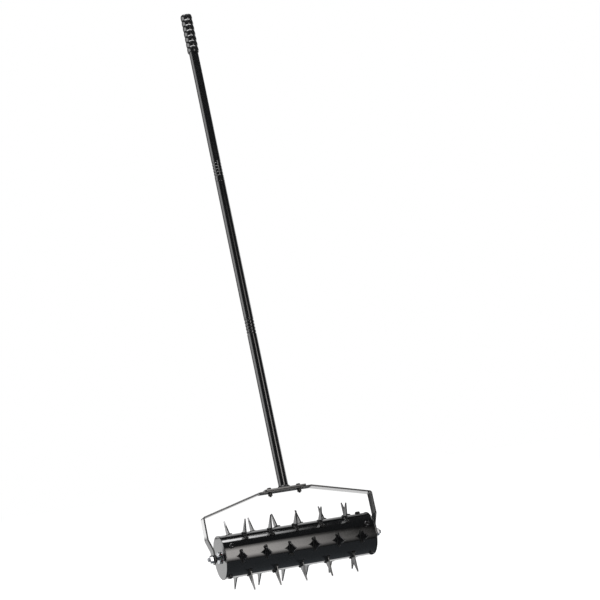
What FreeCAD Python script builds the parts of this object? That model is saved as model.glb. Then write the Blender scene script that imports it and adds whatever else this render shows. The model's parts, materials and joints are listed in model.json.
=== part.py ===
import FreeCAD, Part
import math
import os

# A push lawn aerator: a spiked steel drum that turns freely on its axle, held by a
# bent flat-bar yoke with a three-piece tube handle bolted on top.
# Frame: origin at the middle of the drum's axis, +X along the axle, +Z up.
# The handle leans back towards +Y, and the drum stands on two rows of spikes.

# Drum
drum_radius = 54.0
drum_wall = 2.0
drum_length = 404.0
cap_radius = 55.2
cap_thickness = 3.0
cap_edge_round = 0.8
cap_ring_depth = 28.0
cap_ring_thickness = 3.0
cap_ring_slip = 0.1
cap_boss_radius = 13.0
cap_boss_depth = 10.0

# Spikes: flat triangular plates across the axis, welded on by hand in six rows, so the
# rows are a little off an even pattern. Each row has an angle about the axle (0 faces -Y
# and positive goes up), a number of spikes, their pitch and the middle of the row.
spike_tip_radius = 100.0
spike_base_width = 30.0
spike_tip_width = 1.6
spike_thickness = 3.0
spike_rows = (
    (0.0, 6, 64.0, 0.0),
    (63.0, 5, 67.6, -2.0),
    (121.0, 6, 64.0, -4.0),
    (180.0, 5, 69.0, 0.0),
    (240.0, 6, 64.0, 0.0),
    (300.0, 5, 69.0, 0.0),
)

# Fasteners in the drum
cap_screw_insets = (21.0, 12.0)
cap_screws_per_cap = 4
cap_screw_first_angle = 31.0
screw_radius = 3.0
screw_hole_radius = 3.2
screw_head_radius = 6.6
screw_head_height = 5.4
screw_head_round = 3.2
screw_recess_width = 4.0
screw_recess_depth = 2.4
screw_recess_chamfer = 0.1
screw_nut_width = 10.0
screw_nut_height = 5.0
screw_end_past_nut = 1.5
small_nut_chamfer = 0.6
plug_from_end = 22.5
plug_angle = 96.0
plug_neck_depth = 3.0
plug_bulb_depth = 5.0
plug_bulb_length = 4.0
plug_bulb_radius = 4.4
plug_tip_radius = 2.4

# Axle and what is on it
axle_radius = 5.0
axle_half_length = 233.5
axle_chamfer = 1.0
axle_running_gap = 0.05
axle_pitch_radius = 4.5
axle_nut_width = 17.0
axle_nut_height = 8.0
axle_nut_chamfer = 0.8
jam_nut_height = 5.0
fender_washer_radius = 15.0
fender_washer_thickness = 2.5
bush_radius = 8.0
bush_flange_radius = 11.0
bush_flange_thickness = 1.5
thrust_gap = 0.5

# Yoke, measured in the plane of the handle, up from the axle
handle_lean = 12.0
strap_thickness = 4.0
strap_width = 30.0
strap_top_height = 146.0
arm_bend_x = 70.0
corner_x = 227.0
corner_height = 104.5
leg_bend_height = 48.0
joggle_height = 20.0
eye_x = 218.0
strap_bend_radius = 4.5
axle_hole_radius = 5.2

# Handle foot
foot_length = 112.0
foot_width = 34.0
foot_thickness = 4.0
foot_corner_radius = 5.0
foot_bolt_spacing = 79.0
foot_hole_radius = 3.3
foot_weld_leg = 6.0
bolt_head_width = 10.0
bolt_head_height = 4.0
bolt_nut_height = 6.0
bolt_washer_radius = 6.0
bolt_washer_thickness = 1.6
bolt_end_past_nut = 2.5
bolt_tip_chamfer = 1.0

# Handle tubes, with heights up from the axle along the handle
tube_radius = 12.7
tube_wall = 1.5
lower_joint_height = 610.0
upper_joint_height = 1000.0
tube_top_height = 1497.0
thread_grooves = 5
thread_pitch = 9.0
thread_groove_width = 6.0
thread_groove_depth = 0.9
thread_from_end = 6.0
upper_thread_from_end = 19.0
connector_half_length = 62.0
connector_wall = 2.0
grip_top_height = 1501.0
grip_length = 114.5
grip_ribs = 7
grip_rib_radius = 16.0
grip_groove_radius = 14.4

X_AXIS = FreeCAD.Vector(1, 0, 0)
Z_AXIS = FreeCAD.Vector(0, 0, 1)
ORIGIN = FreeCAD.Vector(0, 0, 0)


def vec(x, y, z):
    return FreeCAD.Vector(x, y, z)


def face_from(points):
    """A flat face from corner points given in order."""
    return Part.Face(Part.makePolygon(points + [points[0]]))


def disc_x(radius, x_low, x_high):
    """A round bar along the axle, from x_low to x_high."""
    return Part.makeCylinder(radius, x_high - x_low, vec(x_low, 0, 0), X_AXIS)


def ring_x(outer, inner, x_low, x_high):
    return disc_x(outer, x_low, x_high).cut(disc_x(inner, x_low - 1, x_high + 1))


def mirrored(shape):
    """The same piece at the other end of the axle."""
    return shape.mirror(ORIGIN, X_AXIS)


def turned(shape, degrees):
    """Turn about the axle: 0 degrees faces -Y and positive goes up."""
    copy = shape.copy()
    copy.rotate(ORIGIN, X_AXIS, -degrees)
    return copy


def on_frame(shape):
    """Lean a piece that is drawn upright back with the handle."""
    return turned(shape, handle_lean)


def hex_prism(width_across_flats, height, chamfer):
    """An upright hexagon, its top and bottom corners turned off by a chamfer."""
    corner = width_across_flats / math.sqrt(3)
    corners = []
    for i in range(6):
        angle = math.radians(60 * i)
        corners.append(vec(corner * math.cos(angle), corner * math.sin(angle), 0))
    prism = face_from(corners).extrude(vec(0, 0, height))
    flat = width_across_flats / 2
    profile = [
        vec(0, 0, 0),
        vec(flat, 0, 0),
        vec(flat + 2 * chamfer, 0, chamfer),
        vec(flat + 2 * chamfer, 0, height - chamfer),
        vec(flat, 0, height),
        vec(0, 0, height),
    ]
    return prism.common(face_from(profile).revolve(ORIGIN, Z_AXIS, 360))


def along_x(shape, x):
    """Lay an upright piece along the axle with its foot at x."""
    copy = shape.copy()
    copy.rotate(ORIGIN, vec(0, 1, 0), 90)
    copy.translate(vec(x, 0, 0))
    return copy


def outward(shape):
    """Turn an upright piece to point along -Y, the way that angle 0 faces on the drum."""
    copy = shape.copy()
    copy.rotate(ORIGIN, X_AXIS, 90)
    return copy


def placed_on_drum(shape, x, degrees):
    """Move a piece drawn at the drum's middle, at angle 0, to its own place."""
    copy = turned(shape, degrees)
    copy.translate(vec(x, 0, 0))
    return copy


def cap_screw_places():
    """Position along the axle and angle of each cap screw. The two insets take turns."""
    places = []
    for side in (-1, 1):
        for i in range(cap_screws_per_cap):
            angle = cap_screw_first_angle + 360 / cap_screws_per_cap * i
            inset = cap_screw_insets[i % len(cap_screw_insets)]
            places.append((side * (drum_length / 2 - inset), angle))
    return places


def radial_hole(radius, x, degrees):
    hole = outward(Part.makeCylinder(radius, cap_radius + 5))
    return placed_on_drum(hole, x, degrees)


# Drum pieces

tube_end_x = drum_length / 2 - cap_thickness
ring_outer = drum_radius - drum_wall - cap_ring_slip
ring_inner = ring_outer - cap_ring_thickness
plug_x = drum_length / 2 - plug_from_end


def drum_tube():
    tube = ring_x(drum_radius, drum_radius - drum_wall, -tube_end_x, tube_end_x)
    for x, angle in cap_screw_places() + [(plug_x, plug_angle)]:
        tube = tube.cut(radial_hole(screw_hole_radius, x, angle))
    return tube


def end_cap():
    """A pressed disc with a ring inside the tube and a boss for the bush."""
    cap = disc_x(cap_radius, tube_end_x, drum_length / 2)
    rims = [edge for edge in cap.Edges if edge.BoundBox.XLength < 0.01]
    cap = cap.makeFillet(cap_edge_round, rims)
    ring = ring_x(ring_outer, ring_inner, tube_end_x - cap_ring_depth, tube_end_x)
    boss = disc_x(cap_boss_radius, tube_end_x - cap_boss_depth, tube_end_x)
    cap = cap.fuse([ring, boss]).removeSplitter()
    cap = cap.cut(disc_x(bush_radius, 0, drum_length))
    for x, angle in cap_screw_places():
        if x > 0:
            cap = cap.cut(radial_hole(screw_hole_radius, x, angle))
    return cap


def end_cap_right():
    """The right cap has one more hole in its ring, for the drain plug."""
    return end_cap().cut(radial_hole(screw_hole_radius, plug_x, plug_angle))


def bush_right():
    """A flanged bush that fills the cap's boss and runs on the axle."""
    inner_x = tube_end_x - cap_boss_depth
    outer_x = drum_length / 2
    body = disc_x(bush_radius, inner_x, outer_x)
    flange = disc_x(bush_flange_radius, outer_x, outer_x + bush_flange_thickness)
    bore = disc_x(axle_radius + axle_running_gap, inner_x - 1, outer_x + 5)
    return body.fuse(flange).cut(bore)


def domed_head():
    """A round-topped head that stands on the drum's surface at angle 0."""
    low = drum_radius - 1
    head = Part.makeCylinder(screw_head_radius, screw_head_height + 1, vec(0, 0, low))
    top = [edge for edge in head.Edges if edge.BoundBox.ZMin > drum_radius]
    return outward(head.makeFillet(screw_head_round, top)).cut(disc_x(drum_radius, -20, 20))


def cap_screw():
    """A pan-head screw through the tube wall and the cap's ring, with a hex recess."""
    nut_end = ring_inner - screw_nut_height
    shank_low = nut_end - screw_end_past_nut
    shank = Part.makeCylinder(screw_radius, drum_radius + 1 - shank_low, vec(0, 0, shank_low))
    screw = domed_head().fuse(outward(shank))
    recess = hex_prism(screw_recess_width, 2 * screw_recess_depth, screw_recess_chamfer)
    recess.translate(vec(0, 0, drum_radius + screw_head_height - screw_recess_depth))
    return screw.cut(outward(recess))


def cap_nut():
    """A hex nut whose seat follows the inside of the cap's ring."""
    nut = hex_prism(screw_nut_width, screw_nut_height + 1, small_nut_chamfer)
    nut.translate(vec(0, 0, ring_inner - screw_nut_height))
    nut = nut.cut(Part.makeCylinder(screw_radius, drum_radius))
    return outward(nut).common(disc_x(ring_inner, -20, 20))


def cap_screws():
    return Part.makeCompound([placed_on_drum(cap_screw(), x, a) for x, a in cap_screw_places()])


def cap_nuts():
    return Part.makeCompound([placed_on_drum(cap_nut(), x, a) for x, a in cap_screw_places()])


def drain_plug():
    """A push-in rubber plug: domed head, neck through wall and ring, a bulb behind them."""
    neck_low = ring_inner - plug_neck_depth
    neck = Part.makeCylinder(screw_hole_radius, drum_radius + 1 - neck_low, vec(0, 0, neck_low))
    bulb_low = vec(0, 0, ring_inner - plug_bulb_depth)
    bulb = Part.makeCone(plug_tip_radius, plug_bulb_radius, plug_bulb_length, bulb_low)
    plug = outward(neck).fuse([outward(bulb), domed_head()])
    return placed_on_drum(plug, plug_x, plug_angle)


def spike():
    """One spike at angle 0: a plate triangle with its foot cut to the drum's curve."""
    half_base = spike_base_width / 2
    half_tip = spike_tip_width / 2
    foot = math.sqrt(drum_radius ** 2 - half_base ** 2)
    slope = (half_base - half_tip) / (spike_tip_radius - foot)
    sunk = drum_wall
    back = -spike_thickness / 2
    outline = [
        vec(back, sunk - foot, -half_base - sunk * slope),
        vec(back, -spike_tip_radius, -half_tip),
        vec(back, -spike_tip_radius, half_tip),
        vec(back, sunk - foot, half_base + sunk * slope),
    ]
    plate = face_from(outline).extrude(vec(spike_thickness, 0, 0))
    return plate.cut(disc_x(drum_radius, -20, 20))


def spike_places():
    """Name, position along the axle and angle of every spike."""
    places = []
    for row, (angle, count, pitch, middle) in enumerate(spike_rows):
        for i in range(count):
            x = (i - (count - 1) / 2) * pitch + middle
            places.append((f"spike_row{row + 1}_{i + 1}", x, angle))
    return places


# Axle pieces

axle_nut_x = eye_x + strap_thickness / 2
jam_nut_x = eye_x - strap_thickness / 2 - jam_nut_height


def axle_rod():
    """A threaded rod. Inside a nut the two threads meet at the pitch radius."""
    rod = disc_x(axle_radius, -axle_half_length, axle_half_length)
    ends = [edge for edge in rod.Edges if edge.BoundBox.XLength < 0.01]
    rod = rod.makeChamfer(axle_chamfer, ends)
    for foot_x, height in ((axle_nut_x, axle_nut_height), (jam_nut_x, jam_nut_height)):
        rod = rod.cut(both_ends(ring_x(axle_radius + 1, axle_pitch_radius, foot_x, foot_x + height)))
    return on_frame(rod)


def nut_on_axle(height, foot_x):
    nut = along_x(hex_prism(axle_nut_width, height, axle_nut_chamfer), foot_x)
    return nut.cut(disc_x(axle_pitch_radius, foot_x - 1, foot_x + height + 1))


def both_ends(shape):
    """One copy at each end of the axle."""
    return Part.makeCompound([mirrored(shape), shape])


def axle_nuts():
    return on_frame(both_ends(nut_on_axle(axle_nut_height, axle_nut_x)))


def jam_nuts():
    return on_frame(both_ends(nut_on_axle(jam_nut_height, jam_nut_x)))


def fender_washers():
    inner_x = drum_length / 2 + bush_flange_thickness + thrust_gap
    outer_x = inner_x + fender_washer_thickness
    return both_ends(ring_x(fender_washer_radius, axle_radius, inner_x, outer_x))


# Yoke and handle pieces, drawn upright and then leaned

def bent_strip(points, radius, thickness):
    """A flat strip's side face: straight runs through the points, joined by round bends."""
    sides = []
    for offset in (thickness / 2, -thickness / 2):
        starts = [None] * len(points)
        ends = [None] * len(points)
        arcs = [None] * len(points)
        for i, point in enumerate(points):
            before = (point - points[i - 1]).normalize() if i > 0 else None
            after = (points[i + 1] - point).normalize() if i < len(points) - 1 else None
            if before is None or after is None:
                along = before or after
                normal = vec(-along.z, 0, along.x)
                starts[i] = ends[i] = point + normal * offset
                continue
            turn = math.atan2(before.x * after.z - before.z * after.x, before.dot(after))
            normal = (vec(-before.z, 0, before.x) + vec(-after.z, 0, after.x)).normalize()
            corner = point + normal * (offset / math.cos(turn / 2))
            inward = 1 if turn > 0 else -1
            bend = radius - offset * inward
            reach = bend * math.tan(abs(turn) / 2)
            starts[i] = corner - before * reach
            ends[i] = corner + after * reach
            arcs[i] = corner + normal * (inward * bend * (1 / math.cos(turn / 2) - 1))
        edges = []
        for i in range(len(points)):
            if arcs[i] is not None:
                edges.append(Part.Arc(starts[i], arcs[i], ends[i]).toShape())
            if i < len(points) - 1:
                edges.append(Part.makeLine(ends[i], starts[i + 1]))
        sides.append((edges, starts[0], ends[-1]))
    (upper, upper_start, upper_end), (lower, lower_start, lower_end) = sides
    caps = [Part.makeLine(upper_start, lower_start), Part.makeLine(upper_end, lower_end)]
    return Part.Face(Part.Wire(Part.sortEdges(upper + lower + caps)[0]))


def yoke_strap():
    """One flat bar bent down at both sides, with joggled legs that end in round eyes."""
    middle = strap_top_height - strap_thickness / 2
    half_path = [
        vec(arm_bend_x, 0, middle),
        vec(corner_x, 0, corner_height),
        vec(corner_x, 0, leg_bend_height),
        vec(eye_x, 0, joggle_height),
        vec(eye_x, 0, -strap_width / 2),
    ]
    path = [vec(-p.x, 0, p.z) for p in reversed(half_path)] + half_path
    face = bent_strip(path, strap_bend_radius, strap_thickness)
    face.translate(vec(0, -strap_width / 2, 0))
    strap = face.extrude(vec(0, strap_width, 0))
    corner_block = Part.makeBox(500, strap_width + 2, strap_width / 2 + 1)
    corner_block.translate(vec(-250, -strap_width / 2 - 1, -strap_width / 2 - 1))
    strap = strap.cut(corner_block.cut(disc_x(strap_width / 2, -250, 250)))
    strap = strap.cut(disc_x(axle_hole_radius, -250, 250))
    for x in foot_bolt_places():
        hole = Part.makeCylinder(foot_hole_radius, 20, vec(x, 0, middle - 10))
        strap = strap.cut(hole)
    return on_frame(strap)


def foot_bolt_places():
    return (-foot_bolt_spacing / 2, foot_bolt_spacing / 2)


def foot_plate():
    plate = Part.makeBox(foot_length, foot_width, foot_thickness)
    plate.translate(vec(-foot_length / 2, -foot_width / 2, strap_top_height))
    uprights = [edge for edge in plate.Edges if edge.BoundBox.ZLength > foot_thickness / 2]
    plate = plate.makeFillet(foot_corner_radius, uprights)
    for x in foot_bolt_places():
        plate = plate.cut(Part.makeCylinder(foot_hole_radius, 20, vec(x, 0, strap_top_height - 5)))
    return on_frame(plate)


foot_top = strap_top_height + foot_thickness
strap_under = strap_top_height - strap_thickness


def foot_weld():
    """The fillet of weld around the foot of the lower tube."""
    profile = [
        vec(tube_radius, 0, foot_top),
        vec(tube_radius + foot_weld_leg, 0, foot_top),
        vec(tube_radius, 0, foot_top + foot_weld_leg),
    ]
    fillet = face_from(profile).revolve(ORIGIN, Z_AXIS, 360)
    slab = Part.makeBox(60, foot_width - 1, 20, vec(-30, -(foot_width - 1) / 2, foot_top))
    return on_frame(fillet.common(slab))


def plate_bolts():
    """Hex bolts from above, with a washer under each head."""
    nut_low = strap_under - bolt_washer_thickness - bolt_nut_height
    head_low = foot_top + bolt_washer_thickness
    bolts = []
    for x in foot_bolt_places():
        head = hex_prism(bolt_head_width, bolt_head_height, small_nut_chamfer)
        head.translate(vec(x, 0, head_low))
        low = nut_low - bolt_end_past_nut
        shank = Part.makeCylinder(screw_radius, head_low - low, vec(x, 0, low))
        tip = [edge for edge in shank.Edges if edge.BoundBox.ZMax < low + 0.1]
        bolts.append(shank.makeChamfer(bolt_tip_chamfer, tip).fuse(head))
    return on_frame(Part.makeCompound(bolts))


def plate_washers():
    """One washer under each bolt's head and one above each nut."""
    washers = []
    for x in foot_bolt_places():
        for z in (strap_under - bolt_washer_thickness, foot_top):
            low = vec(x, 0, z)
            washer = Part.makeCylinder(bolt_washer_radius, bolt_washer_thickness, low)
            washers.append(washer.cut(Part.makeCylinder(screw_radius, 20, low - vec(0, 0, 5))))
    return on_frame(Part.makeCompound(washers))


def plate_nuts():
    nuts = []
    low = strap_under - bolt_washer_thickness - bolt_nut_height
    for x in foot_bolt_places():
        nut = hex_prism(bolt_head_width, bolt_nut_height, small_nut_chamfer)
        nut = nut.cut(Part.makeCylinder(screw_radius, 20, vec(0, 0, -5)))
        nut.translate(vec(x, 0, low))
        nuts.append(nut)
    return on_frame(Part.makeCompound(nuts))


def tube_between(low, high):
    outer = Part.makeCylinder(tube_radius, high - low, vec(0, 0, low))
    inner = Part.makeCylinder(tube_radius - tube_wall, high - low + 2, vec(0, 0, low - 1))
    return outer.cut(inner)


def rolled_grooves(first_height):
    """Round grooves rolled into a tube's end over the connector's thread."""
    grooves = []
    outside = tube_radius + 1
    for i in range(thread_grooves):
        z = first_height + thread_pitch * i
        low = z - thread_groove_width / 2
        high = z + thread_groove_width / 2
        outline = [
            Part.Arc(
                vec(tube_radius, 0, low),
                vec(tube_radius - thread_groove_depth, 0, z),
                vec(tube_radius, 0, high),
            ).toShape(),
            Part.makeLine(vec(tube_radius, 0, high), vec(outside, 0, high)),
            Part.makeLine(vec(outside, 0, high), vec(outside, 0, low)),
            Part.makeLine(vec(outside, 0, low), vec(tube_radius, 0, low)),
        ]
        grooves.append(Part.Face(Part.Wire(outline)).revolve(ORIGIN, Z_AXIS, 360))
    return grooves


def lower_tube():
    top_groove = lower_joint_height - thread_from_end
    first = top_groove - thread_pitch * (thread_grooves - 1)
    return on_frame(tube_between(foot_top, lower_joint_height).cut(rolled_grooves(first)))


def middle_tube():
    return on_frame(tube_between(lower_joint_height, upper_joint_height))


def upper_tube():
    first = upper_joint_height + upper_thread_from_end
    return on_frame(tube_between(upper_joint_height, tube_top_height).cut(rolled_grooves(first)))


def connector(joint_height):
    """A sleeve inside two tubes where they meet."""
    radius = tube_radius - tube_wall
    low = vec(0, 0, joint_height - connector_half_length)
    outer = Part.makeCylinder(radius, 2 * connector_half_length, low)
    inner = Part.makeCylinder(radius - connector_wall, 2 * connector_half_length + 2, low - vec(0, 0, 1))
    return on_frame(outer.cut(inner))


def handle_grip():
    """A closed sleeve over the top of the tube, with round ribs."""
    low = grip_top_height - grip_length
    rib_pitch = grip_length / grip_ribs
    mid = (grip_rib_radius + grip_groove_radius) / 2
    outline = [
        Part.makeLine(vec(0, 0, low), vec(mid, 0, low)),
    ]
    for i in range(grip_ribs):
        z = low + rib_pitch * i
        start = vec(mid if i == 0 else grip_groove_radius, 0, z)
        crest = vec(grip_rib_radius, 0, z + rib_pitch / 2)
        last = i == grip_ribs - 1
        end = vec(mid if last else grip_groove_radius, 0, z + rib_pitch)
        outline.append(Part.Arc(start, crest, end).toShape())
    outline.append(Part.makeLine(vec(mid, 0, grip_top_height), vec(0, 0, grip_top_height)))
    outline.append(Part.makeLine(vec(0, 0, grip_top_height), vec(0, 0, low)))
    grip = Part.Face(Part.Wire(outline)).revolve(ORIGIN, Z_AXIS, 360)
    hole = Part.makeCylinder(tube_radius, tube_top_height - low + 1, vec(0, 0, low - 1))
    return on_frame(grip.cut(hole))


def write(name, shape):
    shape.exportStep(os.path.join("parts", name + ".step"))
    box = shape.BoundBox
    print(f"{name}: solids {len(shape.Solids)}, valid {shape.isValid()}, volume {shape.Volume:.0f},"
          f" x {box.XMin:.1f}..{box.XMax:.1f}")


def main():
    os.makedirs("parts", exist_ok=True)
    pieces = {
        "drum_tube": drum_tube(),
        "end_cap_right": end_cap_right(),
        "end_cap_left": mirrored(end_cap()),
        "bush_right": bush_right(),
        "bush_left": mirrored(bush_right()),
        "cap_screws": cap_screws(),
        "cap_nuts": cap_nuts(),
        "drain_plug": drain_plug(),
        "axle_rod": axle_rod(),
        "axle_nuts": axle_nuts(),
        "jam_nuts": jam_nuts(),
        "fender_washers": fender_washers(),
        "yoke_strap": yoke_strap(),
        "foot_plate": foot_plate(),
        "foot_weld": foot_weld(),
        "plate_bolts": plate_bolts(),
        "plate_washers": plate_washers(),
        "plate_nuts": plate_nuts(),
        "lower_tube": lower_tube(),
        "middle_tube": middle_tube(),
        "upper_tube": upper_tube(),
        "lower_connector": connector(lower_joint_height),
        "upper_connector": connector(upper_joint_height),
        "handle_grip": handle_grip(),
    }
    for name, x, angle in spike_places():
        pieces[name] = placed_on_drum(spike(), x, angle)
    for name, shape in pieces.items():
        write(name, shape)


main()
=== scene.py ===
import json
import math
import random

import bmesh
import bpy
from mathutils import Matrix, Vector


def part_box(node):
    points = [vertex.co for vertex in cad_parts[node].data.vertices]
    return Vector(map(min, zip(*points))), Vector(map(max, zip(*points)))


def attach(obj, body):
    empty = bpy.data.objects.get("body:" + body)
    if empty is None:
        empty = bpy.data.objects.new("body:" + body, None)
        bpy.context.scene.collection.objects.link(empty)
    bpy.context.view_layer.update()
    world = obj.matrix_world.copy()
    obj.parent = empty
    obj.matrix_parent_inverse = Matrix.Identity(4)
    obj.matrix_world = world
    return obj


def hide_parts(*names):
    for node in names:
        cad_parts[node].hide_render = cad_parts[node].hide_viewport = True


# A push lawn aerator, gloss black, on a lit white table in a studio.
# All lengths are metres, in the frame of the CAD model: +X along the drum's axle, +Z up.

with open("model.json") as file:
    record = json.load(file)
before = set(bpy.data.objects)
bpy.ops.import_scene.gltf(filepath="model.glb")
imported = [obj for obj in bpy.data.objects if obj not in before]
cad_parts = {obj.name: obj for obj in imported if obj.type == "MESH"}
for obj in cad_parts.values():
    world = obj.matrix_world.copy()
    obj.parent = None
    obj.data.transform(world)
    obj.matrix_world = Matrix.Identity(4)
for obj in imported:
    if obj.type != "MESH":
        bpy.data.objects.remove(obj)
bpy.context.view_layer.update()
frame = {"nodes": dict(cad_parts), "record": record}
nodes = frame["nodes"]
mounts = {mount["name"]: mount for mount in frame["record"]["mounts"]}

MM = 0.001


def half_width(name):
    """Half of a CAD node's size along the axle."""
    low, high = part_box(name)
    return (high.x - low.x) / 2


def span(name, direction):
    """Lowest and highest reach of a CAD node along a direction."""
    reaches = [vertex.co.dot(direction) for vertex in nodes[name].data.vertices]
    return min(reaches), max(reaches)


# Places and sizes read from the frame
spike_names = sorted(name for name in nodes if name.startswith("spike_"))
spike_half_thickness = half_width("spike_row1_1")
spike_half_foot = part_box("spike_row1_1")[1].z
table_height = min(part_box(name)[0].z for name in spike_names)
drum_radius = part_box("drum_tube")[1].z
axle_radius = mounts["axle_end_right"]["dims"]["r_mm"] * MM
axle_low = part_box("axle_rod")[0].x
axle_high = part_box("axle_rod")[1].x
tube_radius = half_width("lower_tube")

# The handle's lean. Its pieces are drawn upright, and handle_space leans them back.
handle_up = Vector(mounts["hand_grip"]["axis"]).normalized()
handle_front = Vector((0, -handle_up.z, handle_up.y))
handle_lean = math.atan2(handle_up.y, handle_up.z)
handle_space = Matrix.Rotation(-handle_lean, 4, "X")

# Camera
camera_position = Vector((-1.330, -3.997, 0.292))
camera_target = Vector((0.104, 0.0, 0.619))
camera_roll = math.radians(8.08)
camera_lens = 98.86
camera_sensor = 36.0


# Materials

def add_node(tree, kind, **values):
    """Add a shader node. Inputs are set by name, with _ for a space, and properties directly."""
    node = tree.nodes.new(kind)
    for name, value in values.items():
        if hasattr(node, name):
            setattr(node, name, value)
        else:
            node.inputs[name.replace("_", " ")].default_value = value
    return node


def blank_material(name):
    material = bpy.data.materials.new(name)
    material.use_nodes = True
    material.node_tree.nodes.clear()
    return material, material.node_tree


def send_to_output(tree, shader):
    output = add_node(tree, "ShaderNodeOutputMaterial")
    tree.links.new(shader, output.inputs["Surface"])


def object_place(tree):
    """The place of a point on its piece, so that patterns move with the piece."""
    return add_node(tree, "ShaderNodeTexCoord").outputs["Object"]


def noise(tree, place, scale, detail=3.0, roughness=0.55):
    """A noise pattern fixed to the piece. Scale is in cells per metre."""
    node = add_node(tree, "ShaderNodeTexNoise", Scale=scale, Detail=detail, Roughness=roughness)
    tree.links.new(place, node.inputs["Vector"])
    return node.outputs["Fac"]


def remap(tree, value, source, target=(0.0, 1.0)):
    """Stretch a pattern's source range to the target range, and clamp it there."""
    node = add_node(
        tree, "ShaderNodeMapRange",
        From_Min=source[0], From_Max=source[1], To_Min=target[0], To_Max=target[1])
    tree.links.new(value, node.inputs["Value"])
    return node.outputs["Result"]


def multiply(tree, value, pattern):
    """The product of a pattern with another pattern or with a plain number."""
    node = add_node(tree, "ShaderNodeMath", operation="MULTIPLY")
    if isinstance(value, float):
        node.inputs[0].default_value = value
    else:
        tree.links.new(value, node.inputs[0])
    tree.links.new(pattern, node.inputs[1])
    return node.outputs["Value"]


def mix_colour(tree, factor, first, second):
    """Blend two fixed colours by a pattern."""
    node = add_node(tree, "ShaderNodeMix", data_type="RGBA")
    colour_inputs = [socket for socket in node.inputs if socket.type == "RGBA"]
    colour_inputs[0].default_value = (*first, 1)
    colour_inputs[1].default_value = (*second, 1)
    tree.links.new(factor, node.inputs["Factor"])
    return next(socket for socket in node.outputs if socket.type == "RGBA")


def bump(tree, height, distance, before=None):
    """Raise a pattern by a distance, on top of the bumps before it."""
    node = add_node(tree, "ShaderNodeBump", Distance=distance)
    tree.links.new(height, node.inputs["Height"])
    if before:
        tree.links.new(before, node.inputs["Normal"])
    return node.outputs["Normal"]


def surface(tree, colour, roughness, normal, **values):
    """The Principled shader that ends every material of the object."""
    shader = add_node(tree, "ShaderNodeBsdfPrincipled", **values)
    tree.links.new(colour, shader.inputs["Base Color"])
    tree.links.new(roughness, shader.inputs["Roughness"])
    tree.links.new(normal, shader.inputs["Normal"])
    send_to_output(tree, shader.outputs["BSDF"])


def gloss_paint(name, shade, dust_shade, peel_size, peel_depth, rough, coat_roughness):
    """Gloss black enamel: orange peel, uneven gloss and a little fine dust in patches."""
    wave_depth = peel_depth * 12
    material, tree = blank_material(name)
    place = object_place(tree)
    specks = remap(tree, noise(tree, place, scale=900.0, detail=4.0, roughness=0.7), (0.56, 0.74))
    patches = remap(tree, noise(tree, place, scale=14.0, detail=2.0), (0.35, 0.75), (0.15, 1.0))
    colour = mix_colour(tree, multiply(tree, specks, patches), shade, dust_shade)
    roughness = remap(tree, noise(tree, place, scale=55.0), (0.3, 0.7), rough)
    peel = bump(tree, noise(tree, place, scale=1 / peel_size, detail=1.0), peel_depth)
    waves = bump(tree, noise(tree, place, scale=18.0, detail=1.0), wave_depth, before=peel)
    surface(tree, colour, roughness, waves, IOR=1.5, Coat_Weight=1.0, Coat_Roughness=coat_roughness)
    return material


def plated_metal(name, shade, stain_shade, rough, grain_depth):
    """Zinc plate: bright metal with a cloudy passivated tint and fine tumbling marks."""
    material, tree = blank_material(name)
    place = object_place(tree)
    clouds = remap(tree, noise(tree, place, scale=260.0, detail=4.0), (0.38, 0.66))
    colour = mix_colour(tree, clouds, shade, stain_shade)
    scuffs = noise(tree, place, scale=700.0, detail=5.0, roughness=0.7)
    roughness = remap(tree, scuffs, (0.3, 0.7), rough)
    grain = bump(tree, noise(tree, place, scale=2600.0, roughness=0.7), grain_depth)
    surface(tree, colour, roughness, grain, Metallic=1.0)
    return material


def moulded(name, shade, worn_shade, rough, grain_size, grain_depth, **values):
    """Rubber, vinyl, nylon, black oxide or painted weld: cloudy colour with a fine grain."""
    material, tree = blank_material(name)
    place = object_place(tree)
    clouds = remap(tree, noise(tree, place, scale=45.0, detail=4.0), (0.35, 0.7))
    colour = mix_colour(tree, clouds, shade, worn_shade)
    roughness = remap(tree, noise(tree, place, scale=160.0), (0.3, 0.7), rough)
    grain = bump(tree, noise(tree, place, scale=1 / grain_size, detail=2.0), grain_depth)
    surface(tree, colour, roughness, grain, **values)
    return material


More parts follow.
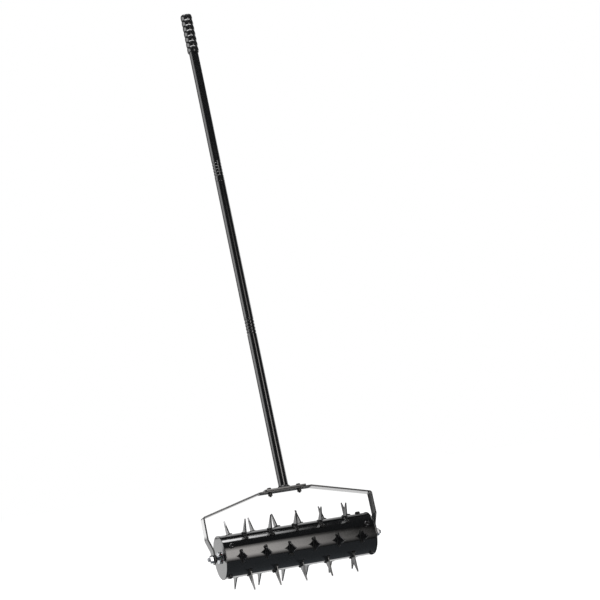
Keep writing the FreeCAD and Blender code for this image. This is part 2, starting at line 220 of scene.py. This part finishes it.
# The finish of each of the record's slots, and of the welds
materials = {
    "black_paint": gloss_paint(
        "gloss_black_enamel", shade=(0.0038, 0.0040, 0.0044), dust_shade=(0.010, 0.0097, 0.0095),
        peel_size=1.6 * MM, peel_depth=0.006 * MM, rough=(0.09, 0.16), coat_roughness=0.04),
    "spike_paint": gloss_paint(
        "spike_enamel", shade=(0.006, 0.0061, 0.0066), dust_shade=(0.015, 0.0147, 0.0145),
        peel_size=1.2 * MM, peel_depth=0.012 * MM, rough=(0.14, 0.22), coat_roughness=0.10),
    "tube_paint": gloss_paint(
        "tube_powder_coat", shade=(0.0040, 0.0042, 0.0046), dust_shade=(0.010, 0.0098, 0.0096),
        peel_size=1.0 * MM, peel_depth=0.006 * MM, rough=(0.18, 0.28), coat_roughness=0.06),
    "weld": moulded(
        "painted_weld", shade=(0.0040, 0.0040, 0.0043), worn_shade=(0.010, 0.0098, 0.0095),
        rough=(0.30, 0.45), grain_size=1.0 * MM, grain_depth=0.02 * MM,
        IOR=1.35, Coat_Weight=0.2, Coat_Roughness=0.3),
    "black_screw": moulded(
        "black_oxide", shade=(0.006, 0.006, 0.0062), worn_shade=(0.013, 0.0125, 0.012),
        rough=(0.38, 0.55), grain_size=0.5 * MM, grain_depth=0.008 * MM),
    "zinc": plated_metal(
        "zinc_plate", shade=(0.88, 0.89, 0.91), stain_shade=(0.74, 0.76, 0.80),
        rough=(0.2, 0.34), grain_depth=0.004 * MM),
    "axle_steel": plated_metal(
        "axle_zinc", shade=(0.50, 0.51, 0.54), stain_shade=(0.36, 0.37, 0.40),
        rough=(0.26, 0.44), grain_depth=0.005 * MM),
    "nylon": moulded(
        "natural_nylon", shade=(0.70, 0.68, 0.62), worn_shade=(0.60, 0.58, 0.52),
        rough=(0.35, 0.5), grain_size=0.5 * MM, grain_depth=0.008 * MM,
        Subsurface_Weight=0.2, Subsurface_Scale=2.0 * MM),
    "rubber": moulded(
        "plug_rubber", shade=(0.014, 0.014, 0.014), worn_shade=(0.026, 0.026, 0.025),
        rough=(0.42, 0.6), grain_size=0.35 * MM, grain_depth=0.02 * MM),
    "grip_vinyl": moulded(
        "grip_vinyl", shade=(0.006, 0.006, 0.0065), worn_shade=(0.011, 0.011, 0.0115),
        rough=(0.2, 0.3), grain_size=0.9 * MM, grain_depth=0.004 * MM,
        IOR=1.5, Coat_Weight=1.0, Coat_Roughness=0.05, Coat_IOR=1.68),
}


# Mesh helpers

def place_object(name, mesh):
    """Show a mesh as a piece in the scene."""
    piece = bpy.data.objects.new(name, mesh)
    bpy.context.scene.collection.objects.link(piece)
    return piece


def mesh_from(name, bm, slot, smooth_angle, finish=None):
    """Turn a bmesh into a piece. Edges bent by more than the angle in degrees stay sharp."""
    bmesh.ops.recalc_face_normals(bm, faces=bm.faces)
    mesh = bpy.data.meshes.new(name)
    bm.to_mesh(mesh)
    bm.free()
    mesh.materials.append(materials[finish or slot])
    mesh.shade_smooth()
    mesh.set_sharp_from_angle(angle=math.radians(smooth_angle))
    return place_object(name, mesh)


def lathe(bm, profile, segments, matrix):
    """Turn a profile of (radius, height) about the local Z axis. Radius 0 closes an end."""
    rings = []
    for radius, height in profile:
        if radius == 0:
            rings.append([bm.verts.new(matrix @ Vector((0, 0, height)))])
            continue
        ring = []
        for i in range(segments):
            angle = 2 * math.pi * i / segments
            ring.append(bm.verts.new(
                matrix @ Vector((radius * math.cos(angle), radius * math.sin(angle), height))))
        rings.append(ring)
    for lower, upper in zip(rings, rings[1:]):
        for i in range(segments):
            corners = [lower[i % len(lower)], lower[(i + 1) % len(lower)],
                       upper[(i + 1) % len(upper)], upper[i % len(upper)]]
            bm.faces.new(list(dict.fromkeys(corners)))


def thread(bm, radius, pitch, low, high, chamfer, matrix):
    """A helical V thread along the local Z axis, from low up to a chamfered end at high."""
    segments = 24
    depth = 0.54 * pitch
    join_distance = 0.004 * MM
    # The root and the crest's two edges: each one's share of the pitch, and how deep it's cut
    steps = ((0.0, depth), (0.42, 0.0), (0.58, 0.0))
    turns = math.ceil((high - low) / pitch) + 1
    strips = []
    for turn in range(-1, turns + 1):
        for share, cut in steps:
            strip = []
            for i in range(segments + 1):
                height = low + pitch * (turn + share + i / segments)
                held = min(max(height, low), high)
                reach = min(radius - cut, radius - chamfer + (high - held))
                angle = 2 * math.pi * i / segments
                strip.append(bm.verts.new(
                    matrix @ Vector((reach * math.cos(angle), reach * math.sin(angle), held))))
            strips.append(strip)
    for lower, upper in zip(strips, strips[1:]):
        for i in range(segments):
            bm.faces.new((lower[i], lower[i + 1], upper[i + 1], upper[i]))
    lathe(bm, [(0, high), (radius - chamfer, high)], segments, matrix)
    bmesh.ops.remove_doubles(bm, verts=bm.verts, dist=join_distance)


def hex_prism(bm, corner, low, high, chamfer, matrix):
    """An upright hexagon whose corners are at a radius, with those of its top turned off."""
    top_corner = corner - 1.7 * chamfer
    profile = [(0, low), (corner, low), (corner, high - chamfer), (top_corner, high), (0, high)]
    lathe(bm, profile, 6, matrix)


# CAD nodes that stay: how wide their rounded edges are, in millimetres, and their finishes

spike_edge_round = 0.35
edge_rounds = {
    "drum_tube": 0.3, "end_cap_right": 0.3, "end_cap_left": 0.3,
    "bush_right": 0.3, "bush_left": 0.3,
    "cap_screws": 0.25, "cap_nuts": 0.25,
    "axle_nuts": 0.35, "jam_nuts": 0.35, "fender_washers": 0.4,
    "yoke_strap": 1.75, "foot_plate": 1.7,
    "plate_washers": 0.25, "plate_nuts": 0.25,
    "lower_tube": 0.8, "middle_tube": 0.8, "upper_tube": 0.8,
}
edge_rounds.update({name: spike_edge_round for name in spike_names})


def round_edges(piece, width):
    """Weld the CAD mesh's seams, then round its sharp edges. Wide rounds get more segments."""
    weld = piece.modifiers.new("weld", "WELD")
    weld.merge_threshold = 0.002 * MM
    bevel = piece.modifiers.new("round", "BEVEL")
    bevel.width = width
    bevel.segments = 2 if width < 1.0 * MM else 5
    bevel.limit_method = "ANGLE"
    bevel.angle_limit = math.radians(32)
    bevel.use_clamp_overlap = True
    normals = piece.modifiers.new("normals", "WEIGHTED_NORMAL")
    normals.weight = 60


def finish_cad_nodes():
    """Give every CAD node its slot's material, and round the edges of those listed above."""
    for entry in frame["record"]["subparts"]:
        name = entry["node"]
        piece = nodes[name]
        for slot in piece.material_slots:
            slot.material = materials[entry["material_slot"]]
        if name in edge_rounds:
            round_edges(piece, edge_rounds[name] * MM)


finish_cad_nodes()


# Weld beads at the feet of the spikes

weld_variants = 7
weld_voxel = 0.55 * MM
choice_seed = 11

# The drops that make a weld, in a run on each face of the spike and in a heap at each end of
# its foot. Lengths are in millimetres, and a pair is the range of a random draw. A shape gives
# a drop's radii across the spike, out from the drum and along the foot, as shares of its size.
run_drop_size = (2.0, 2.9)
run_drop_shape = (1.0, 0.9, 1.2)
run_drop_height = (0.2, 0.6)
run_drop_offset = (0.2, 0.7)
run_drop_pitch = (1.5, 2.3)
heap_drops = 6
heap_scale = (0.6, 1.25)
heap_drop_size = (2.7, 3.8)
heap_drop_shape = (1.0, 0.85, 1.0)
heap_drop_height = (0.5, 1.5)
heap_drop_pitch = 0.9
heap_scatter_along = (-2.4, 1.0)
heap_scatter_across = (-0.7, 0.7)


def weld_drop(bm, centre, size, shape):
    """One drop of weld: a ball squashed to its shape."""
    radii = [size * share for share in shape]
    matrix = Matrix.Translation(centre) @ Matrix.Diagonal((*radii, 1))
    bmesh.ops.create_icosphere(bm, subdivisions=2, radius=1, matrix=matrix)


def drum_reach(along):
    """How far the drum's surface is from its axis towards -Y, at a point along a foot at angle 0."""
    return math.sqrt(drum_radius ** 2 - along ** 2)


def weld_drops(seed):
    """The overlapping drops of weld of a spike at angle 0, in the middle of the drum."""
    draw = random.Random(seed)
    bm = bmesh.new()
    for side in (-1, 1):
        along = -spike_half_foot
        while along < spike_half_foot:
            size = draw.uniform(*run_drop_size) * MM
            out = drum_reach(along) + draw.uniform(*run_drop_height) * MM
            across = side * (spike_half_thickness + draw.uniform(*run_drop_offset) * MM)
            weld_drop(bm, (across, -out, along), size, run_drop_shape)
            along += draw.uniform(*run_drop_pitch) * MM
    for end in (-1, 1):
        scale = draw.uniform(*heap_scale)
        for i in range(heap_drops):
            along = end * (spike_half_foot + draw.uniform(*heap_scatter_along) * MM)
            out = drum_reach(along) + draw.uniform(*heap_drop_height) * MM
            place = (i - (heap_drops - 1) / 2) * heap_drop_pitch * scale * MM
            across = place + draw.uniform(*heap_scatter_across) * MM
            size = draw.uniform(*heap_drop_size) * scale * MM
            weld_drop(bm, (across, -out, along), size, heap_drop_shape)
    return bm


def melted(bm, voxel):
    """Run overlapping drops together into one smooth closed skin."""
    rough = bpy.data.meshes.new("weld_drops")
    bm.to_mesh(rough)
    bm.free()
    holder = bpy.data.objects.new("weld_holder", rough)
    bpy.context.scene.collection.objects.link(holder)
    remesh = holder.modifiers.new("skin", "REMESH")
    remesh.mode = "VOXEL"
    remesh.voxel_size = voxel
    smooth = holder.modifiers.new("melt", "SMOOTH")
    smooth.iterations = 3
    smooth.factor = 0.5
    evaluated = holder.evaluated_get(bpy.context.evaluated_depsgraph_get())
    skin = bpy.data.meshes.new_from_object(evaluated)
    bpy.data.objects.remove(holder)
    skin.shade_smooth()
    return skin


def spike_angle(name):
    """The angle of a spike's tip about the axle, from -Y and up."""
    tip_depth = 0.1 * MM
    points = [vertex.co.yz for vertex in nodes[name].data.vertices]
    reach = max(point.length for point in points)
    tip = sum((point for point in points if point.length > reach - tip_depth), Vector((0, 0)))
    return math.atan2(tip.y, -tip.x)


def spike_welds():
    """A weld at the foot of each spike, one of a few variants, that turns with the drum."""
    skins = []
    for seed in range(weld_variants):
        skin = melted(weld_drops(seed), weld_voxel)
        skin.materials.clear()
        skin.materials.append(materials["weld"])
        skins.append(skin)
    draw = random.Random(choice_seed)
    for name in spike_names:
        low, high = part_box(name)
        weld = place_object(name.replace("spike", "weld"), draw.choice(skins))
        turn = Matrix.Rotation(-spike_angle(name), 4, "X")
        weld.matrix_world = Matrix.Translation(((low.x + high.x) / 2, 0, 0)) @ turn
        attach(weld, "drum")


spike_welds()


# Weld around the foot of the handle

def foot_weld():
    """A rippled fillet round the tube's foot, kept on the foot plate at its front and back."""
    steps = 144
    seed = 5
    leg_mm = 6.0
    ripples = 34
    ripple_mm = 0.3
    scatter_mm = 0.12
    sways = 3
    sway_mm = 0.6
    plate_margin = 0.2 * MM
    sunk = 0.6 * MM
    top_width = 0.05 * MM
    # Points of the fillet's bulging face: share of its width, and share of its height
    bulge = ((1.0, 0.0), (0.62, 0.42), (0.3, 0.8))
    low, _ = span("foot_weld", handle_up)
    plate_back, plate_front = span("foot_plate", handle_front)
    plate_half_width = (plate_front - plate_back) / 2 - plate_margin
    draw = random.Random(seed)
    bm = bmesh.new()
    rings = []
    for i in range(steps):
        angle = 2 * math.pi * i / steps
        ripple = ripple_mm * math.sin(angle * ripples) + draw.uniform(-scatter_mm, scatter_mm)
        leg = (leg_mm + ripple + sway_mm * math.sin(angle * sways + 1)) * MM
        room = plate_half_width / max(abs(math.sin(angle)), 0.01) - tube_radius
        width = min(leg, room)
        face = [(width * width_share, leg * leg_share) for width_share, leg_share in bulge]
        out = Vector((math.cos(angle), math.sin(angle), 0))
        ring = []
        for reach, rise in [(-sunk, 0), *face, (top_width, leg), (-sunk, leg)]:
            point = out * (tube_radius + reach) + Vector((0, 0, low + rise))
            ring.append(bm.verts.new(handle_space @ point))
        rings.append(ring)
    for i, ring in enumerate(rings):
        following = rings[(i + 1) % steps]
        for j in range(len(ring)):
            k = (j + 1) % len(ring)
            bm.faces.new((ring[j], ring[k], following[k], following[j]))
    bead = mesh_from("foot_weld_bead", bm, "black_paint", smooth_angle=60, finish="weld")
    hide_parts("foot_weld")
    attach(bead, "handle_frame")


foot_weld()


# Axle with real threads at both ends

def axle():
    """A 10 mm rod, plain inside the drum and threaded with a 1.5 mm pitch at both ends."""
    pitch = 1.5 * MM
    chamfer = 1.0 * MM
    thread_length = 42.0 * MM
    left_end = axle_low + thread_length
    right_end = axle_high - thread_length
    lay_right = Matrix.Rotation(math.radians(90), 4, "Y")
    lay_left = Matrix.Rotation(math.radians(-90), 4, "Y")
    bm = bmesh.new()
    thread(bm, axle_radius, pitch, right_end, axle_high, chamfer, lay_right)
    thread(bm, axle_radius, pitch, -left_end, -axle_low, chamfer, lay_left)
    plain = [(0, left_end), (axle_radius, left_end), (axle_radius, right_end), (0, right_end)]
    lathe(bm, plain, 48, lay_right)
    rod = mesh_from("threaded_axle", bm, "axle_steel", smooth_angle=25)
    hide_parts("axle_rod")
    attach(rod, "handle_frame")


axle()


# Bolts of the foot plate

def plate_bolts():
    """Two M6 hex bolts whose threaded ends stand out below their nuts."""
    radius = 3.0 * MM
    pitch = 1.0 * MM
    thread_length = 14.0 * MM
    tip_chamfer = 0.9 * MM
    head_width = 10.0 * MM
    head_height = 4.0 * MM
    head_chamfer = 0.7 * MM
    low, high = span("plate_bolts", handle_up)
    head_low = high - head_height
    head_corner = head_width / math.sqrt(3)
    thread_top = low + thread_length
    bolt_x = half_width("plate_bolts") - head_corner
    bm = bmesh.new()
    for side in (-1, 1):
        place = handle_space @ Matrix.Translation((side * bolt_x, 0, 0))
        hex_prism(bm, head_corner, head_low, high, head_chamfer, place)
        downward = place @ Matrix.Rotation(math.pi, 4, "X")
        thread(bm, radius, pitch, -thread_top, -low, tip_chamfer, downward)
        shank = [(0, thread_top), (radius, thread_top), (radius, head_low), (0, head_low)]
        lathe(bm, shank, 24, place)
    bolts = mesh_from("plate_bolts_threaded", bm, "black_screw", smooth_angle=25)
    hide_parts("plate_bolts")
    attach(bolts, "handle_frame")


plate_bolts()


# Grip

def grip():
    """The dipped sleeve: seven round ribs, a rolled lip below and a domed end above."""
    ribs = 7
    steps_per_rib = 20
    rib_radius = 16.0 * MM
    groove_radius = 14.5 * MM
    roundness = 0.75
    end_share = 0.25
    end_radius = groove_radius - 0.6 * MM
    end_bulge = 6 * MM
    bore = tube_radius + 0.05 * MM
    bore_depth = 1.5 * MM
    # The domed end: how far each point is in from the grooves, and how far below the top
    dome = ((1.2 * MM, 0.25 * MM), (3.0 * MM, 0), (groove_radius, 0))
    low, high = span("handle_grip", handle_up)
    pitch = (high - low) / ribs
    profile = [(bore, low + bore_depth), (bore, low), (end_radius, low)]
    for i in range(1, ribs * steps_per_rib):
        swell = abs(math.sin(math.pi * i / steps_per_rib)) ** roundness
        radius = groove_radius + (rib_radius - groove_radius) * swell
        end_room = min(i, ribs * steps_per_rib - i) / steps_per_rib
        if end_room < end_share:
            radius = min(radius, end_radius + end_bulge * math.sqrt(end_room))
        profile.append((radius, low + pitch * i / steps_per_rib))
    profile += [(groove_radius - inset, high - drop) for inset, drop in dome]
    bm = bmesh.new()
    lathe(bm, profile, 96, handle_space)
    sleeve = mesh_from("ribbed_grip", bm, "grip_vinyl", smooth_angle=60)
    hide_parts("handle_grip")
    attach(sleeve, "handle_frame")


grip()


# Studio

def stage_object(name, bm, material):
    """Turn a bmesh into a piece of the studio, which isn't part of the object."""
    mesh = bpy.data.meshes.new(name)
    bm.to_mesh(mesh)
    bm.free()
    mesh.materials.append(material)
    piece = bpy.data.objects.new(name, mesh)
    bpy.context.scene.collection.objects.link(piece)
    return piece


def table():
    """A wide pale table top that glows, so that it stays nearly white."""
    radius = 9.0
    material, tree = blank_material("lit_table")
    diffuse = add_node(tree, "ShaderNodeBsdfDiffuse", Color=(0.25, 0.25, 0.25, 1))
    glow = add_node(tree, "ShaderNodeEmission", Strength=1.0)
    both = add_node(tree, "ShaderNodeAddShader")
    tree.links.new(diffuse.outputs["BSDF"], both.inputs[0])
    tree.links.new(glow.outputs["Emission"], both.inputs[1])
    send_to_output(tree, both.outputs["Shader"])
    bm = bmesh.new()
    lathe(bm, [(0, 0), (radius, 0)], 64, Matrix.Translation((0, 0, table_height)))
    top = stage_object("table_top", bm, material)
    top.visible_glossy = False
    top.visible_shadow = False


def backdrop():
    """A plain white dome behind everything."""
    material, tree = blank_material("white_backdrop")
    glow = add_node(tree, "ShaderNodeEmission", Strength=1.0)
    send_to_output(tree, glow.outputs["Emission"])
    bm = bmesh.new()
    bmesh.ops.create_uvsphere(bm, u_segments=64, v_segments=32, radius=10.0)
    dome = stage_object("backdrop_dome", bm, material)
    dome.visible_diffuse = False
    dome.visible_glossy = False
    dome.visible_shadow = False


def faded_glow(name, radiance, tint, fades):
    """An emission that fades out towards the edges: shares of left, right, low and high."""
    left, right, low, high = fades
    material, tree = blank_material(name)
    place = add_node(tree, "ShaderNodeUVMap", uv_map="place")
    split = add_node(tree, "ShaderNodeSeparateXYZ")
    tree.links.new(place.outputs["UV"], split.inputs["Vector"])
    level = radiance
    for axis, edge, inner in (("X", 0.0, left), ("X", 1.0, 1.0 - right),
                              ("Y", 0.0, low), ("Y", 1.0, 1.0 - high)):
        ramp = add_node(
            tree, "ShaderNodeMapRange", interpolation_type="SMOOTHSTEP", From_Min=edge, From_Max=inner)
        tree.links.new(split.outputs[axis], ramp.inputs["Value"])
        level = multiply(tree, level, ramp.outputs["Result"])
    glow = add_node(tree, "ShaderNodeEmission", Color=(*tint, 1))
    tree.links.new(level, glow.inputs["Strength"])
    send_to_output(tree, glow.outputs["Emission"])
    return material


def softbox(name, distance, arc, reach, radiance, tint, fades, upright=False, taper=0.0):
    """A curved soft light about the drum's axis, or about the upright axis.

    The arc is in degrees from the front: over the top to the back, or, when upright, round by
    the left. Reach is its span along the axis that it curves about, and taper is the share of
    it that the light loses at the arc's end.
    """
    front = Vector((0, -1, 0))
    side = Vector((-1, 0, 0)) if upright else Vector((0, 0, 1))
    along = Vector((0, 0, 1)) if upright else Vector((1, 0, 0))
    steps = 24
    bm = bmesh.new()
    layer = bm.loops.layers.uv.new("place")
    columns = []
    for i in range(steps + 1):
        share = i / steps
        angle = math.radians(arc[0] + (arc[1] - arc[0]) * share)
        spoke = distance * (front * math.cos(angle) + side * math.sin(angle))
        far = reach[1] - taper * share * (reach[1] - reach[0])
        columns.append([(bm.verts.new(spoke + along * reach[0]), 0, share),
                        (bm.verts.new(spoke + along * far), 1, share)])
    for lower, upper in zip(columns, columns[1:]):
        corners = (lower[0], lower[1], upper[1], upper[0])
        face = bm.faces.new([vertex for vertex, _, _ in corners])
        for loop, (_, u, v) in zip(face.loops, corners):
            loop[layer].uv = (u, v)
    light = stage_object(name, bm, faded_glow(name, radiance, tint, fades))
    light.visible_camera = False


def studio_lights():
    """Soft lights all round, and small cards that light the caps and a leg of the yoke."""
    warm = (1.0, 0.965, 0.935)
    white = (1.0, 1.0, 1.0)
    cool = (0.82, 0.91, 1.0)
    softbox(
        "softbox_front", distance=3.0, arc=(-26, 52), reach=(0.05, 1.50),
        radiance=4.1, tint=warm, fades=(0.25, 0.54, 0.36, 0.3), taper=0.13)
    softbox(
        "softbox_overhead", distance=2.6, arc=(84, 103), reach=(-1.25, 0.96),
        radiance=9.0, tint=white, fades=(0.45, 0.25, 0.25, 0.25))
    softbox(
        "softbox_back", distance=3.6, arc=(131, 199), reach=(-0.1, 3.0),
        radiance=0.60, tint=white, fades=(0.1, 0.1, 0.08, 0.08))
    softbox(
        "softbox_back_left", distance=1.5, arc=(160, 200), reach=(-2.2, -0.30),
        radiance=0.85, tint=white, fades=(0.1, 0.1, 0.62, 0.1))
    softbox(
        "softbox_low_back", distance=3.6, arc=(200, 234), reach=(-0.6, 2.1),
        radiance=1.15, tint=white, fades=(0.2, 0.2, 0.2, 0.35))
    softbox(
        "softbox_left", distance=2.8, arc=(72, 158), reach=(0.0, 2.9),
        radiance=2.2, tint=white, fades=(0.2, 0.1, 0.12, 0.65), upright=True)
    softbox(
        "leg_card", distance=0.62, arc=(138, 149), reach=(0.016, 0.15),
        radiance=1.9, tint=white, fades=(0.1, 0.1, 0.1, 0.1), upright=True)
    for name, arc in (("left_cap_card", (32, 138)), ("right_cap_card", (226, 318))):
        softbox(
            name, distance=0.75, arc=arc, reach=(-0.5, -0.03),
            radiance=0.9, tint=white, fades=(0.1, 0.1, 0.2, 0.2), upright=True)
    softbox(
        "softbox_back_right", distance=2.8, arc=(206, 262), reach=(0.2, 2.0),
        radiance=1.4, tint=white, fades=(0.1, 0.1, 0.2, 0.3), upright=True)
    softbox(
        "floor_glow", distance=3.1, arc=(-126, -14), reach=(-3.0, 3.0),
        radiance=0.15, tint=cool, fades=(0.1, 0.1, 0.05, 0.02))


def dim_room():
    """Faint light from all around."""
    world = bpy.data.worlds.new("dim_room")
    bpy.context.scene.world = world
    world.use_nodes = True
    background = world.node_tree.nodes["Background"]
    background.inputs["Color"].default_value = (0.9, 0.95, 1.0, 1)
    background.inputs["Strength"].default_value = 0.05


def camera():
    """The camera looks at its target, rolled about its line of sight."""
    forward = (camera_target - camera_position).normalized()
    level_right = forward.cross(Vector((0, 0, 1))).normalized()
    level_up = level_right.cross(forward)
    up = level_up * math.cos(camera_roll) + level_right * math.sin(camera_roll)
    right = forward.cross(up)
    turn = Matrix((right, up, -forward)).transposed()
    data = bpy.data.cameras.new("camera")
    data.lens = camera_lens
    data.sensor_width = camera_sensor
    eye = bpy.data.objects.new("camera", data)
    eye.matrix_world = Matrix.Translation(camera_position) @ turn.to_4x4()
    bpy.context.scene.collection.objects.link(eye)
    bpy.context.scene.camera = eye


table()
backdrop()
studio_lights()
dim_room()
camera()
bpy.context.scene.view_settings.view_transform = "Standard"
